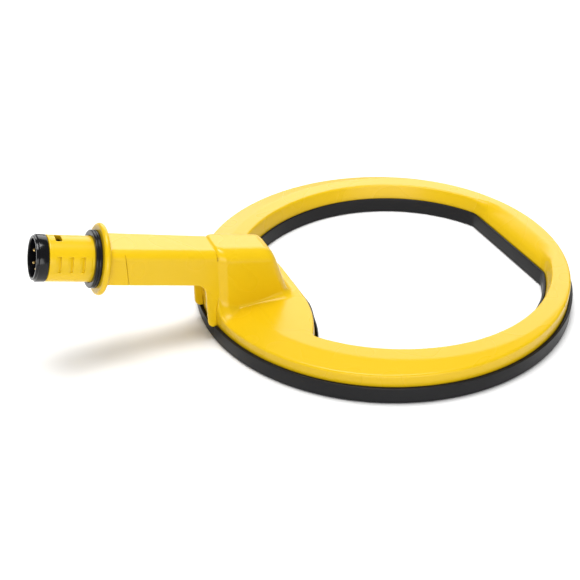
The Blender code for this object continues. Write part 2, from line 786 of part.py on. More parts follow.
def make_coil_leads(mat):
    x, _, z = cable_end()
    for k, side in enumerate((-1, 1), 1):
        y = side * 1.0 * MM
        route = [(x, y, z - GAP), (x - 0.6 * MM, y * 1.4, z - 3.0 * MM),
                 (x - 4.0 * MM, y * 2.2, z - 4.9 * MM),
                 (RING_X - WIND_R + WIND_WIRE_R + 0.6 * MM, y * 2.2, WIND_Z)]
        tube_along("coil_lead_%d" % k, smooth_route(route, 3), WIRE_R, mat, sides=6)


# ------------------------------------------------------------------ build

def main():
    clear_scene()
    yellow = material("yellow_plastic", YELLOW, 0.35)
    black = material("black_plastic", BLACK, 0.5)
    gloss = material("black_gloss", BLACK, 0.15)
    rubber = material("black_rubber", RUBBER, 0.4)
    copper = material("copper_wire", COPPER, 0.35, 1.0)
    gold = material("gold_plate", GOLD, 0.2, 1.0)
    make_top_shell(yellow)
    make_bottom_plate(yellow)
    make_scuff_cover(black)
    make_winding(copper)
    make_sleeve("winding_tape", TAPE_R, 1, material("tan_tape", TAPE_TAN, 0.6))
    make_sleeve("shield_wrap", SHIELD_R, 2, material("shield_foil", FOIL, 0.3, 1.0))
    make_potting_bed(material("epoxy", EPOXY, 0.4))
    make_arm(yellow)
    make_seal_plug(rubber)
    make_connector_tube(yellow)
    make_gasket(rubber)
    make_plug_shell(gloss)
    make_o_ring(rubber)
    make_insulator(black)
    make_retaining_ring(black)
    make_pins(gold)
    make_plug_wires(copper)
    make_cable(rubber)
    make_gland(rubber)
    make_coil_leads(copper)


main()
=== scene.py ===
"""Looks for the search coil head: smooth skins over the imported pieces, materials, light and camera."""

import math

import bpy
import numpy as np
from mathutils import Matrix, Vector


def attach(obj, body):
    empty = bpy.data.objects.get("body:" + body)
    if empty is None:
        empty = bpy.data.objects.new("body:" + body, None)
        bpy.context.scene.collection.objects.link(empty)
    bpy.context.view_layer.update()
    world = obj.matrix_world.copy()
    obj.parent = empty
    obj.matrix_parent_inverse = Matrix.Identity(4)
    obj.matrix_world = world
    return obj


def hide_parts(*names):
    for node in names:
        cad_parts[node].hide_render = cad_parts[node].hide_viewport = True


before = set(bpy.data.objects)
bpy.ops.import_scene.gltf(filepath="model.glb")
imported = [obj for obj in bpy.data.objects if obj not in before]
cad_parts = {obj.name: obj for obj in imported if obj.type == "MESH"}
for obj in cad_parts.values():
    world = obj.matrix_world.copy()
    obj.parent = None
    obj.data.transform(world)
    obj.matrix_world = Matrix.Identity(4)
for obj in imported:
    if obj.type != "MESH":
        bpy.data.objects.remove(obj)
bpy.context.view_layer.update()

# All shapes below are worked out in millimetres in the ring's own frame: its centre on the
# ground is the origin, +X runs away from the plug and +Z is up. RING_X moves them into the
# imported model's frame. Heights over the sloping axis of arm and plug are measured straight up.
RING_X = 41.1
MM = 0.001

# Ring shell, and the scuff cover that it sits in
SHELL_R, SHELL_TOP, SHELL_FOOT, SHELL_WALL = 98.1, 16.45, 2.2, 1.7
SHELL_RIM, SHELL_FOOT_EDGE = 1.1, 0.2
COVER_R, COVER_TOP, COVER_FLOOR, LIP, OUTER_LIP, GAP = 100.0, 8.7, 1.8, 1.2, 1.6, 0.3
NOTCH_DEPTH, NOTCH_INNER, NOTCH_OUTER = 1.5, 11.7, 12.3
FOOT_EDGE, LIP_EDGE, LIP_INNER_EDGE, FLOOR_EDGE, FLOOR_STRIP = 1.1, 0.35, 0.25, 0.3, 9.0

# Opening: a far and a near circle, a straight side and the lobe. The cosines turn a level
# distance from a leaning wall into roughly the distance square to it.
OFFSET, OPEN_R, OPEN_MIN, CIRCLE_BLEND = 7.9, 82.1, 77.9, 3.0
WALL_LEAN, CHORD_TOP, CHORD_FOOT = 1.95, 85.6, 80.2
CIRCLE_COS, CHORD_COS, LOBE_COS = 0.97, 0.82, 0.889
LOBE_TOP, LOBE_FOOT, LOBE_FLAT, LOBE_R = 52.1, 51.3, 15.0, 58.0
LOBE_SWELL, SWELL_FROM, SWELL_TO = 2.1, 10.0, 27.0
CHORD_FILLET, LOBE_FILLET = 1.4, 1.6

# Bevel of the ring's top, and the edge between the top and the opening
BEVEL_SLOPE, BEVEL_COS, CREASE = 0.17, 0.986, 0.16
BEVEL_FAR_R, BEVEL_NEAR_R, BEVEL_BLEND = 91.0, 85.5, 4.0
INNER_EDGE, CHORD_EDGE = 0.9, 4.4
CHORD_EDGE_FROM, CHORD_EDGE_TO, CHORD_EDGE_WIDE, CHORD_EDGE_FULL = 70.0, 80.0, 42.0, 24.0

# Sloping axis, through the middle of the plug's mouth
TILT = math.radians(15.1)
PLUG_X, PLUG_Z = -179.3, 61.5
SEAM_X, NECK_X = -139.0, -95.0

# Neck: half width, height over the axis, and the step where it laps over the arm
NECK_RUN, NECK_HALF, NECK_NARROWS, NECK_SIDE_COS = 37.0, 12.6, 1.1, 0.95
NECK_RISE, NECK_CLIMB = 11.5, 0.036
NECK_LAP, SIDE_STEP, SIDE_STEP_END = 0.6, 1.8, 4.4
TOP_STEP, TOP_STEP_START, TOP_STEP_END = 1.1, -0.5, 1.6
NECK_END_X, NECK_END_Z, NECK_END_RUN, NECK_END_DROP = -65.7, 42.2, 7.5, 25.2
NECK_EDGE, NECK_END_EDGE = 6.2, 3.4
NECK_FILLET, FRONT_FILLET, FRONT_FROM, FRONT_TO = 1.5, 2.6, -78.0, -60.0
LEG_FILLET, LEG_FILLET_FROM, LEG_FILLET_LONG = 0.95, -86.0, 10.0
MOUTH_HALF, MOUTH_TOP, MOUTH_FOOT, MOUTH_END, MOUTH_EDGE = 10.55, 9.35, 27.5, 91.0, 4.3

# Arm: a rounded box that narrows towards the neck, its two legs and its tongue
ARM_HALF, ARM_NARROWS, ARM_EDGE, ARM_WALL = 11.7, 0.9, 4.5, 2.0
ARM_RISE, ARM_RISE_MORE, ARM_DROP, ARM_DROP_MORE, CORNER_LIFT = 9.9, 0.4, 8.1, 0.3, 0.3
LEG_BACK, LEG_FOOT, LEG_FOOT_EDGE, LEG_HALF, LEG_EDGE = 101.8, 7.7, 3.4, 0.9, 0.35
LEG_FLARE, FLARE_TOP, FLARE_FOOT = 0.6, 30.0, 9.0
TONGUE_HALF, TONGUE_RISE, TONGUE_DROP, TONGUE_EDGE, TONGUE_WALL = 10.3, 9.1, 7.7, 4.5, 1.6
TONGUE_START, TONGUE_END, HOLLOW_END = 97.0, 84.0, 4.0
ARM_TO_RING = 0.02
SEAM_HALF, SEAM_LAP, SEAM_FADE, SEAM_GONE, SEAM_EDGE = 0.05, 0.8, 7.4, 9.6, 0.2

# Connector tube: distances along the axis from the plug's mouth
TUBE_R, TUBE_START, TUBE_EDGE = 10.8, 5.8, 0.4
BEAD_R, BEAD_MIDDLE, BEAD_HALF, COLLAR_START, COLLAR_FILLET = 15.5, 30.85, 1.5, 30.8, 1.6
TAIL_R, TAIL_START, TAIL_END = 5.4, 33.0, 52.0
BORE_R, BORE_END, TAIL_BORE_R = 8.6, 27.0, 4.0
RIB_START, RIB_COUNT, RIB_WIDTH, RIB_PITCH, RIB_EDGE = 5.6, 4, 3.0, 5.45, 0.3
PANEL_ANGLE, PANEL_HALF_ANGLE = math.radians(79.0), math.radians(20.5)
PANEL_MIDDLE, PANEL_HALF, PANEL_EDGE, PANEL_RIM = 15.6, 10.0, 0.8, 0.12
PANEL_SHALLOW, PANEL_DEEPER = 0.02, 1.0
SLOT_MIDDLE, SLOT_HALF_LENGTH, SLOT_HALF_WIDTH, SLOT_EDGE, SLOT_RIM = 10.6, 1.4, 2.8, 0.4, 0.2
SLOT_FLOOR = 5.0

# A field value far from any surface
FAR_OFF = -50.0


# ------------------------------------------------------------------ camera

# Focal length in units of the image's 580 columns, angles in degrees, the aim in millimetres
# from the ring's centre and the distance in metres
IMAGE_WIDTH, FOCAL, SENSOR_WIDTH = 580.0, 999.0, 36.0
CAMERA_TILT, CAMERA_TURN, CAMERA_ROLL = 33.493, -22.124, -0.739
CAMERA_AIM, CAMERA_DISTANCE = (-47.21, 15.12), 0.53924


def add_camera():
    """Camera in front and above, aimed at a point on the ground on the plug's side of the ring."""
    tilt, turn, roll = (math.radians(a) for a in (CAMERA_TILT, CAMERA_TURN, CAMERA_ROLL))
    away = Vector((math.sin(turn) * math.cos(tilt), -math.cos(turn) * math.cos(tilt), math.sin(tilt)))
    right = Vector((math.cos(turn), math.sin(turn), 0.0))
    up = away.cross(right)
    side = right * math.cos(roll) + up * math.sin(roll)
    head = up * math.cos(roll) - right * math.sin(roll)
    aim = Vector(((RING_X + CAMERA_AIM[0]) * MM, CAMERA_AIM[1] * MM, 0.0))
    data = bpy.data.cameras.new("camera")
    data.sensor_width = SENSOR_WIDTH
    data.lens = SENSOR_WIDTH * FOCAL / IMAGE_WIDTH
    data.clip_start = 0.01
    data.clip_end = 20.0
    camera = bpy.data.objects.new("camera", data)
    rows = Matrix((side, head, away)).transposed().to_4x4()
    camera.matrix_world = Matrix.Translation(aim + away * CAMERA_DISTANCE) @ rows
    bpy.context.collection.objects.link(camera)
    bpy.context.scene.camera = camera


add_camera()


# ------------------------------------------------------------------ fields (negative inside)

def cut(a, b, r):
    """Intersection of two solids with its edge rounded to radius r."""
    return (np.minimum(-r, np.maximum(a, b))
            + np.hypot(np.maximum(a + r, 0.0), np.maximum(b + r, 0.0)))


def join(a, b, r):
    """Union of two solids with a fillet of radius r."""
    return -cut(-a, -b, r)


def soft_max(a, b, k):
    """Larger of two values, blended where they differ by less than k."""
    h = np.maximum(k - np.abs(a - b), 0.0) / k
    return np.maximum(a, b) + h * h * k * 0.25


def ramp(x, start, end):
    """Smooth step from 0 at start to 1 at end."""
    t = np.clip((x - start) / (end - start), 0.0, 1.0)
    return t * t * (3.0 - 2.0 * t)


def inner_wall(x, y, z):
    """Material beyond the ring's opening: offset circle, straight side and lobe."""
    depth = np.minimum(SHELL_TOP - z, SHELL_TOP - COVER_TOP)
    part = depth / (SHELL_TOP - COVER_TOP)
    lean = WALL_LEAN * part
    far = np.hypot(x - OFFSET, y) - (OPEN_R - lean)
    near = np.hypot(x, y) - (OPEN_MIN - lean)
    circle = CIRCLE_COS * soft_max(-far, -near, CIRCLE_BLEND)
    chord = ((CHORD_TOP - (CHORD_TOP - CHORD_FOOT) * part) - x) * CHORD_COS
    side = np.maximum(np.abs(y) - LOBE_FLAT, 0.0)
    foot = LOBE_FOOT - LOBE_SWELL * (1.0 - ramp(np.abs(y), SWELL_FROM, SWELL_TO))
    front = LOBE_TOP - (LOBE_TOP - foot) * part
    lobe = (x + front + side * side / (2.0 * LOBE_R)) * LOBE_COS
    lobe = lobe / np.sqrt(1.0 + (side / LOBE_R) ** 2)
    return join(join(circle, chord, CHORD_FILLET), lobe, LOBE_FILLET)


def ring_top(x, y, z):
    """Flat top, bevelled outside the crease line, with its inner edge softest by the straight side."""
    reach = np.hypot(x, y)
    wide = -soft_max(BEVEL_FAR_R - np.hypot(x - OFFSET, y), BEVEL_NEAR_R - reach, BEVEL_BLEND)
    top = z - SHELL_TOP
    slope = (top + BEVEL_SLOPE * wide) * BEVEL_COS
    lid = soft_max(top, slope, CREASE)
    by_chord = ramp(x, CHORD_EDGE_FROM, CHORD_EDGE_TO) * ramp(-np.abs(y), -CHORD_EDGE_WIDE, -CHORD_EDGE_FULL)
    edge = INNER_EDGE + CHORD_EDGE * by_chord
    return cut(lid, inner_wall(x, y, z), edge)


def ring_solid(x, y, z):
    return cut(ring_top(x, y, z), np.hypot(x, y) - SHELL_R, SHELL_RIM)


def axis_z(x):
    """Height of the sloping axis."""
    return PLUG_Z - (x - PLUG_X) * math.tan(TILT)


def flare(z):
    """How much the legs and the neck beside them spread towards the ring."""
    return LEG_FLARE * ramp(-z, -FLARE_TOP, -FLARE_FOOT)


def neck_solid(x, y, z):
    """Neck block, which laps over the arm with a soft step."""
    t = np.clip((x - NECK_X) / NECK_RUN, 0.0, 1.0)
    step = 1.0 - ramp(x, NECK_X - NECK_LAP, NECK_X + SIDE_STEP_END)
    side = (np.abs(y) - (NECK_HALF - NECK_NARROWS * t - (SIDE_STEP - flare(z)) * step)) * NECK_SIDE_COS
    low = TOP_STEP * (1.0 - ramp(x, NECK_X + TOP_STEP_START, NECK_X + TOP_STEP_END))
    rise = NECK_RISE + NECK_CLIMB * (x - NECK_X) - low
    top = (z - axis_z(x) - rise) * math.cos(TILT)
    end = (x - NECK_END_X) * NECK_END_DROP + (z - NECK_END_Z) * NECK_END_RUN
    end = end / math.hypot(NECK_END_RUN, NECK_END_DROP)
    body = cut(top, side, NECK_EDGE)
    body = cut(body, end, NECK_END_EDGE)
    return np.maximum(body, NECK_X - NECK_LAP - x)


def shell_field(x, y, z):
    """Hollow ring shell with lobe and neck; the neck's fillet grows towards its front and the legs."""
    top, neck = ring_top(x, y, z), neck_solid(x, y, z)
    fillet = NECK_FILLET + FRONT_FILLET * ramp(x, FRONT_FROM, FRONT_TO)
    fillet = fillet + LEG_FILLET * np.clip(LEG_FILLET_FROM - x, 0.0, LEG_FILLET_LONG)
    solid = join(top, neck, fillet)
    solid = cut(solid, np.hypot(x, y) - SHELL_R, SHELL_RIM)
    skin = np.maximum(solid, -(solid + SHELL_WALL))
    up = z - axis_z(x)
    mouth = cut(np.abs(y) - MOUTH_HALF, np.maximum(up - MOUTH_TOP, MOUTH_FOOT - z), MOUTH_EDGE)
    mouth = np.maximum(mouth, x + MOUTH_END)
    return np.maximum(cut(skin, SHELL_FOOT - z, SHELL_FOOT_EDGE), -mouth)


def arm_share(x):
    """0 at the seam with the tube, 1 at the neck."""
    return np.clip((x - SEAM_X) / (NECK_X - SEAM_X), 0.0, 1.0)


def arm_section(x, y, z, inset=0.0):
    """Rounded box section of the arm, or its inside at a wall of inset."""
    t = arm_share(x)
    side = np.abs(y) - (ARM_HALF - ARM_NARROWS * t) + inset
    up = z - axis_z(x)
    over = np.maximum(up - ARM_RISE - ARM_RISE_MORE * t, -up - ARM_DROP - ARM_DROP_MORE * t)
    return cut(side, over * math.cos(TILT) + inset, ARM_EDGE - inset)


def arm_field(x, y, z):
    """Hollow arm with square lower corners that run on into the legs, and its tongue."""
    body = np.maximum(arm_section(x, y, z), x - NECK_X)
    t = arm_share(x)
    up = z - axis_z(x)
    outer = ARM_HALF - ARM_NARROWS * t + flare(z)
    under = (axis_z(x) - (ARM_DROP + ARM_DROP_MORE * t) + CORNER_LIFT) - z
    free = cut(-LEG_BACK - x, LEG_FOOT - z, LEG_FOOT_EDGE)
    plate = np.maximum(np.maximum(join(free, under, ARM_EDGE), up), x - NECK_X)
    leg = cut(plate, np.abs(np.abs(y) - (outer - LEG_HALF)) - LEG_HALF, LEG_EDGE)
    body = np.minimum(body, leg)
    tongue = cut(np.abs(y) - TONGUE_HALF, np.maximum(up - TONGUE_RISE, -up - TONGUE_DROP), TONGUE_EDGE)
    body = np.minimum(body, np.maximum(tongue, np.maximum(x + TONGUE_END, -TONGUE_START - x)))
    hollow = np.where(x < NECK_X - HOLLOW_END, arm_section(x, y, z, ARM_WALL), tongue + TONGUE_WALL)
    body = np.maximum(body, -hollow)
    body = np.maximum(body, ARM_TO_RING - ring_solid(x, y, z))
    front = SEAM_X + SEAM_HALF - SEAM_LAP * ramp(up, SEAM_FADE, SEAM_GONE)
    return cut(body, front - x, SEAM_EDGE)


def along(x, z):
    """Distance along the sloping axis and height above it."""
    dx, dz = x - PLUG_X, z - PLUG_Z
    return (dx * math.cos(TILT) - dz * math.sin(TILT), dx * math.sin(TILT) + dz * math.cos(TILT))


def collar_solid(x, y, z, s):
    """Collar behind the bead, with the arm's section and its square lower corners."""
    low = np.maximum(axis_z(x) - (ARM_DROP - CORNER_LIFT) - z, z - axis_z(x))
    square = cut(low, np.abs(np.abs(y) - (ARM_HALF - LEG_HALF)) - LEG_HALF, LEG_EDGE)
    collar = np.maximum(np.minimum(arm_section(x, y, z), square), COLLAR_START - s)
    return cut(collar, x - (SEAM_X - SEAM_HALF), SEAM_EDGE)


def rib_recess(s, y, w, reach):
    """Ground between the grip ribs on both flanks, deepest at one side of each rib."""
    arc = np.abs(np.arctan2(np.abs(y), w) - PANEL_ANGLE) - PANEL_HALF_ANGLE
    panel = cut(arc * reach, np.abs(s - PANEL_MIDDLE) - PANEL_HALF, PANEL_EDGE)
    rib = np.full_like(s, FAR_OFF)
    for k in range(RIB_COUNT):
        middle = RIB_START + k * RIB_PITCH + RIB_WIDTH / 2
        rib = np.maximum(rib, RIB_WIDTH / 2 - np.abs(s - middle))
    share = np.mod(s - RIB_START - RIB_WIDTH, RIB_PITCH) / (RIB_PITCH - RIB_WIDTH)
    depth = PANEL_SHALLOW + PANEL_DEEPER * share ** 1.5
    return cut(np.maximum(panel, TUBE_R - depth - reach), rib, RIB_EDGE)


def tube_field(x, y, z):
    """Connector tube: sleeve, bead and collar, its tail in the arm, ribs, slot and bore."""
    s, w = along(x, z)
    reach = np.hypot(y, w)
    sleeve = cut(reach - TUBE_R, TUBE_START - s, TUBE_EDGE)
    sleeve = np.maximum(sleeve, s - COLLAR_START)
    bead = np.hypot(np.maximum(reach - BEAD_R, 0.0), s - BEAD_MIDDLE) - BEAD_HALF
    body = np.minimum(sleeve, join(bead, collar_solid(x, y, z, s), COLLAR_FILLET))
    tail = np.maximum(np.maximum(reach - TAIL_R, s - TAIL_END), TAIL_START - s)
    body = np.minimum(body, tail)
    body = cut(body, -rib_recess(s, y, w, reach), PANEL_RIM)
    slot = cut(np.abs(s - SLOT_MIDDLE) - SLOT_HALF_LENGTH, np.abs(y) - SLOT_HALF_WIDTH, SLOT_EDGE)
    body = cut(body, -np.maximum(slot, SLOT_FLOOR - w), SLOT_RIM)
    return np.maximum(body, np.where(s < BORE_END, BORE_R, TAIL_BORE_R) - reach)


# ------------------------------------------------------------------ meshing

PULLS, PULL_REACH, PULL_LIMIT, NORMAL_REACH = 3, 0.02, 0.3, 0.04


def slope_of(field, p, eps):
    """Gradient of a field at points p, by central differences."""
    out = np.empty_like(p)
    for k in range(3):
        a, b = p.copy(), p.copy()
        a[:, k] += eps
        b[:, k] -= eps
        out[:, k] = (field(*a.T) - field(*b.T)) / (2.0 * eps)
    return out


def mesh_from(name, points, faces, normals=None):
    """Smooth-shaded object of quads, with its own normals where they are given."""
    mesh = bpy.data.meshes.new(name)
    count, sides = faces.shape
    mesh.vertices.add(len(points))
    mesh.vertices.foreach_set("co", points.astype(np.float32).ravel())
    mesh.loops.add(count * sides)
    mesh.loops.foreach_set("vertex_index", faces.astype(np.int32).ravel())
    mesh.polygons.add(count)
    mesh.polygons.foreach_set("loop_start", np.arange(0, count * sides, sides, dtype=np.int32))
    mesh.update(calc_edges=True)
    mesh.validate()
    mesh.shade_smooth()
    if normals is not None:
        mesh.normals_split_custom_set_from_vertices(normals.tolist())
    obj = bpy.data.objects.new(name, mesh)
    bpy.context.collection.objects.link(obj)
    return obj


CORNERS = [(i, j, k) for i in (0, 1) for j in (0, 1) for k in (0, 1)]


def nets(name, field, axes, to_xyz, ring=False):
    """Closed skin of a field over a curved grid, with its points pulled onto the zero surface."""
    grid = np.meshgrid(*axes, indexing="ij")
    value = field(*to_xyz(*grid)).astype(np.float32)
    axes = [np.asarray(a, float) for a in axes]
    if ring:
        value = np.concatenate([value, value[:1]])
        axes[0] = np.append(axes[0], axes[0][0] + math.tau)
    inside = value < 0.0
    shape = tuple(n - 1 for n in value.shape)

    def corner(array, c):
        return array[c[0]:c[0] + shape[0], c[1]:c[1] + shape[1], c[2]:c[2] + shape[2]]

    total = sum(corner(inside, c).astype(np.int8) for c in CORNERS)
    cells = np.argwhere((total > 0) & (total < 8))
    index = np.full(shape, -1, np.int32)
    index[tuple(cells.T)] = np.arange(len(cells))
    place, hits = np.zeros((len(cells), 3)), np.zeros(len(cells))
    for c in CORNERS:
        for k in range(3):
            if c[k]:
                continue
            d = list(c)
            d[k] = 1
            va = value[tuple((cells + c).T)]
            vb = value[tuple((cells + d).T)]
            cross = (va < 0) != (vb < 0)
            t = np.where(cross, va / np.where(cross, va - vb, 1.0), 0.0)
            step = np.array(c, float) + t[:, None] * (np.array(d) - c)
            place[cross] += step[cross]
            hits[cross] += 1
    place = cells + place / hits[:, None]
    params = [np.interp(place[:, k], np.arange(len(axes[k])), axes[k]) for k in range(3)]
    points = np.stack(to_xyz(*params), axis=1)

    quads = []
    for k in range(3):
        u, v = (k + 1) % 3, (k + 2) % 3
        low = np.take(inside, range(value.shape[k] - 1), axis=k)
        high = np.take(inside, range(1, value.shape[k]), axis=k)
        edges = np.argwhere(low != high)
        keep = np.ones(len(edges), bool)
        for other in (u, v):
            if ring and other == 0:
                keep &= edges[:, 0] < shape[0]
            else:
                keep &= (edges[:, other] > 0) & (edges[:, other] < shape[other])
        edges = edges[keep]
        if not len(edges):
            continue
        around = []
        for du, dv in ((-1, -1), (0, -1), (0, 0), (-1, 0)):
            cell = edges.copy()
            cell[:, u] += du
            cell[:, v] += dv
            if ring:
                cell[:, 0] %= shape[0]
            around.append(index[tuple(cell.T)])
        quad = np.stack(around, axis=1)
        outward = low[tuple(edges.T)]
        quad[~outward] = quad[~outward][:, ::-1]
        quads.append(quad)
    quads = np.concatenate(quads)

    for _ in range(PULLS):
        d = field(*points.T)
        g = slope_of(field, points, PULL_REACH)
        move = (d / np.maximum((g * g).sum(1), 0.25))[:, None] * g
        size = np.linalg.norm(move, axis=1, keepdims=True)
        points -= move * np.minimum(1.0, PULL_LIMIT / np.maximum(size, 1e-9))
    normals = slope_of(field, points, NORMAL_REACH)
    normals /= np.maximum(np.linalg.norm(normals, axis=1, keepdims=True), 1e-9)
    a, b, c = (points[quads[:, i]] for i in (0, 1, 2))
    facing = (np.cross(b - a, c - a) * normals[quads[:, 0]]).sum()
    if facing < 0:
        quads = quads[:, ::-1]
    points = (points + (RING_X, 0.0, 0.0)) * MM
    return mesh_from(name, points, quads, normals)


def around_ring(angle, r, z):
    """Grid round the ring: angle, distance from its centre and height."""
    return r * np.cos(angle), r * np.sin(angle), z


def plain(x, y, z):
    """Grid that is already in the ring's frame."""
    return x, y, z


def along_axis(s, y, w):
    """Grid along the sloping axis: distance from the plug's mouth, sideways and height above it."""
    return (PLUG_X + s * math.cos(TILT) + w * math.sin(TILT), y,
            PLUG_Z - s * math.sin(TILT) + w * math.cos(TILT))


def span(low, high, step):
    """Even steps from low to high, both included."""
    return np.linspace(low, high, int(round((high - low) / step)) + 1)


def ring_angles(fine, middle, coarse):
    """Steps round the ring in radians, closest by the neck at 180 degrees."""
    half = np.concatenate([
        span(0.0, 128.0, coarse)[:-1],
        span(128.0, 166.0, middle)[:-1],
        span(166.0, 180.0, fine),
    ])
    full = np.concatenate([half, 360.0 - half[1:-1][::-1]])
    return np.radians(full)


def rounded(profile, steps=4):
    """Profile of (a, b) or (a, b, radius) corners as a closed line with rounded corners."""
    line = []
    count = len(profile)
    for i, corner in enumerate(profile):
        here = np.array(corner[:2], float)
        radius = corner[2] if len(corner) > 2 else 0.0
        before = np.array(profile[i - 1][:2], float) - here
        after = np.array(profile[(i + 1) % count][:2], float) - here
        before /= np.linalg.norm(before)
        after /= np.linalg.norm(after)
        if radius <= 0.0:
            line.append(tuple(here))
            continue
        half = 0.5 * math.acos(float(np.clip(before @ after, -1.0, 1.0)))
        reach = radius / math.tan(half)
        middle = here + (before + after) / np.linalg.norm(before + after) * radius / math.sin(half)
        start, end = here + before * reach - middle, here + after * reach - middle
        sweep = math.acos(float(np.clip((start @ end) / radius ** 2, -1.0, 1.0)))
        for k in range(steps + 1):
            t = k / steps
            p = (math.sin((1 - t) * sweep) * start + math.sin(t * sweep) * end) / math.sin(sweep)
            line.append(tuple(middle + p))
    return line


def band_quads(rows, columns):
    """Quads of a closed sweep: rows of points, each joined to the next and the last to the first."""
    i = np.arange(rows)[:, None]
    j = np.arange(columns)[None, :]
    n, m = (i + 1) % rows, (j + 1) % columns
    quads = [i * columns + j, i * columns + m, n * columns + m, n * columns + j]
    return np.stack([q.reshape(-1) for q in np.broadcast_arrays(*quads)], axis=1)


def smooth_by(obj, degrees):
    """Keep edges sharp where faces meet at more than so many degrees."""
    obj.data.set_sharp_from_angle(angle=math.radians(degrees))
    return obj


def outward(points, quads):
    """Turn the quads round if they enclose a negative volume."""
    a, b, c, d = (points[quads[:, i]] for i in range(4))
    volume = (np.cross(b, c) * a).sum() + (np.cross(c, d) * a).sum()
    return quads if volume > 0 else quads[:, ::-1]


def turned(name, profile, steps=128):
    """Turn a closed (s, radius) profile about the sloping axis."""
    s, r = np.array(profile).T
    turn = np.arange(steps)[:, None] * math.tau / steps
    x, y, z = along_axis(s[None, :] + 0 * turn, r[None, :] * np.sin(turn), r[None, :] * np.cos(turn))
    points = np.stack([x, y, z], axis=2).reshape(-1, 3)
    quads = outward(points, band_quads(steps, len(profile)))
    return smooth_by(mesh_from(name, (points + (RING_X, 0, 0)) * MM, quads), 35)


def edge_line(angles, offset):
    """Distance from the ring's centre at which the foot of the inner wall, moved by offset, lies."""
    low, high = np.full_like(angles, 30.0), np.full_like(angles, 95.0)
    c, s = np.cos(angles), np.sin(angles)
    for _ in range(40):
        mid = 0.5 * (low + high)
        out = inner_wall(mid * c, mid * s, np.full_like(mid, COVER_TOP)) > offset
        low, high = np.where(out, mid, low), np.where(out, high, mid)
    return 0.5 * (low + high)


def make_scuff_cover(name):
    """Two lips and the floor between them, swept round the ring, with a notch under the legs."""
    angles = ring_angles(0.2, 0.4, 0.8)
    face = edge_line(angles, GAP + LIP)
    left = rounded([(0.0, 0.0, FOOT_EDGE), (0.0, COVER_TOP, LIP_EDGE), (LIP, COVER_TOP, LIP_INNER_EDGE),
                    (LIP, COVER_FLOOR, FLOOR_EDGE), (FLOOR_STRIP, COVER_FLOOR), (FLOOR_STRIP, 0.0)],
                   5)[:-2]
    right = rounded([(-FLOOR_STRIP, 0.0), (-FLOOR_STRIP, COVER_FLOOR), (-OUTER_LIP, COVER_FLOOR, FLOOR_EDGE),
                     (-OUTER_LIP, COVER_TOP, LIP_INNER_EDGE), (0.0, COVER_TOP, LIP_EDGE),
                     (0.0, 0.0, FOOT_EDGE)], 5)[2:]
    rows = []
    for angle, f in zip(angles, face):
        across = abs(COVER_R * math.sin(angle))
        low = NOTCH_DEPTH * float(ramp(across, NOTCH_OUTER, NOTCH_INNER)) * (math.cos(angle) < 0)
        line = [(f + a, z) for a, z in left]
        line += [(COVER_R + a, z - low if z > COVER_TOP / 2 else z) for a, z in right]
        rows.append([(r * math.cos(angle), r * math.sin(angle), z) for r, z in line])
    points = np.array(rows).reshape(-1, 3)
    quads = outward(points, band_quads(len(angles), len(rows[0])))
    return smooth_by(mesh_from(name, (points + (RING_X, 0, 0)) * MM, quads), 40)


# ------------------------------------------------------------------ materials

def new_material(name, colour, roughness, metallic=0.0, specular=0.5):
    mat = bpy.data.materials.new(name)
    mat.use_nodes = True
    tree = mat.node_tree
    shader = tree.nodes["Principled BSDF"]
    shader.inputs["Base Color"].default_value = (*colour, 1.0)
    shader.inputs["Roughness"].default_value = roughness
    shader.inputs["Metallic"].default_value = metallic
    shader.inputs["Specular IOR Level"].default_value = specular
    return mat, tree, shader


def noise(tree, scale, detail):
    coords = tree.nodes.new("ShaderNodeTexCoord")
    node = tree.nodes.new("ShaderNodeTexNoise")
    node.inputs["Scale"].default_value = scale
    node.inputs["Detail"].default_value = detail
    tree.links.new(coords.outputs["Object"], node.inputs["Vector"])
    return node


def spread(tree, source, low, high):
    """Noise spread smoothly between two values."""
    node = tree.nodes.new("ShaderNodeMapRange")
    node.interpolation_type = "SMOOTHERSTEP"
    node.inputs["From Min"].default_value = 0.1
    node.inputs["From Max"].default_value = 0.9
    node.inputs["To Min"].default_value = low
    node.inputs["To Max"].default_value = high
    tree.links.new(source, node.inputs["Value"])
    return node.outputs["Result"]


def tint(tree, source, dark, light):
    """Noise as a smooth blend of two colours."""
    node = tree.nodes.new("ShaderNodeValToRGB")
    node.color_ramp.interpolation = "EASE"
    node.color_ramp.elements[0].position = 0.2
    node.color_ramp.elements[0].color = (*dark, 1.0)
    node.color_ramp.elements[1].position = 0.8
    node.color_ramp.elements[1].color = (*light, 1.0)
    tree.links.new(source, node.inputs["Fac"])
    return node.outputs["Color"]


def grain(tree, shader, scale, distance):
    """Fine bump of the moulded skin."""
    node = noise(tree, scale, 2.0)
    bump = tree.nodes.new("ShaderNodeBump")
    bump.inputs["Distance"].default_value = distance
    tree.links.new(node.outputs["Fac"], bump.inputs["Height"])
    tree.links.new(bump.outputs["Normal"], shader.inputs["Normal"])


COLOUR_SCALE, GLOSS_SCALE = 35.0, 60.0
FINE_SKIN = (1500.0, 0.0000008)


def moulded(name, dark, light, rough, bump=FINE_SKIN, **more):
    """Moulded plastic, rubber or metal: slow colour change, broad changes of gloss and a fine skin."""
    mat, tree, shader = new_material(name, light, rough[0], **more)
    slow = noise(tree, COLOUR_SCALE, 2.0)
    tree.links.new(tint(tree, slow.outputs["Fac"], dark, light), shader.inputs["Base Color"])
    patch = noise(tree, GLOSS_SCALE, 0.0)
    tree.links.new(spread(tree, patch.outputs["Fac"], *rough), shader.inputs["Roughness"])
    grain(tree, shader, *bump)
    return mat


def dress(node, mat):
    """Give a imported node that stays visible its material."""
    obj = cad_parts[node]
    obj.data.materials.clear()
    obj.data.materials.append(mat)


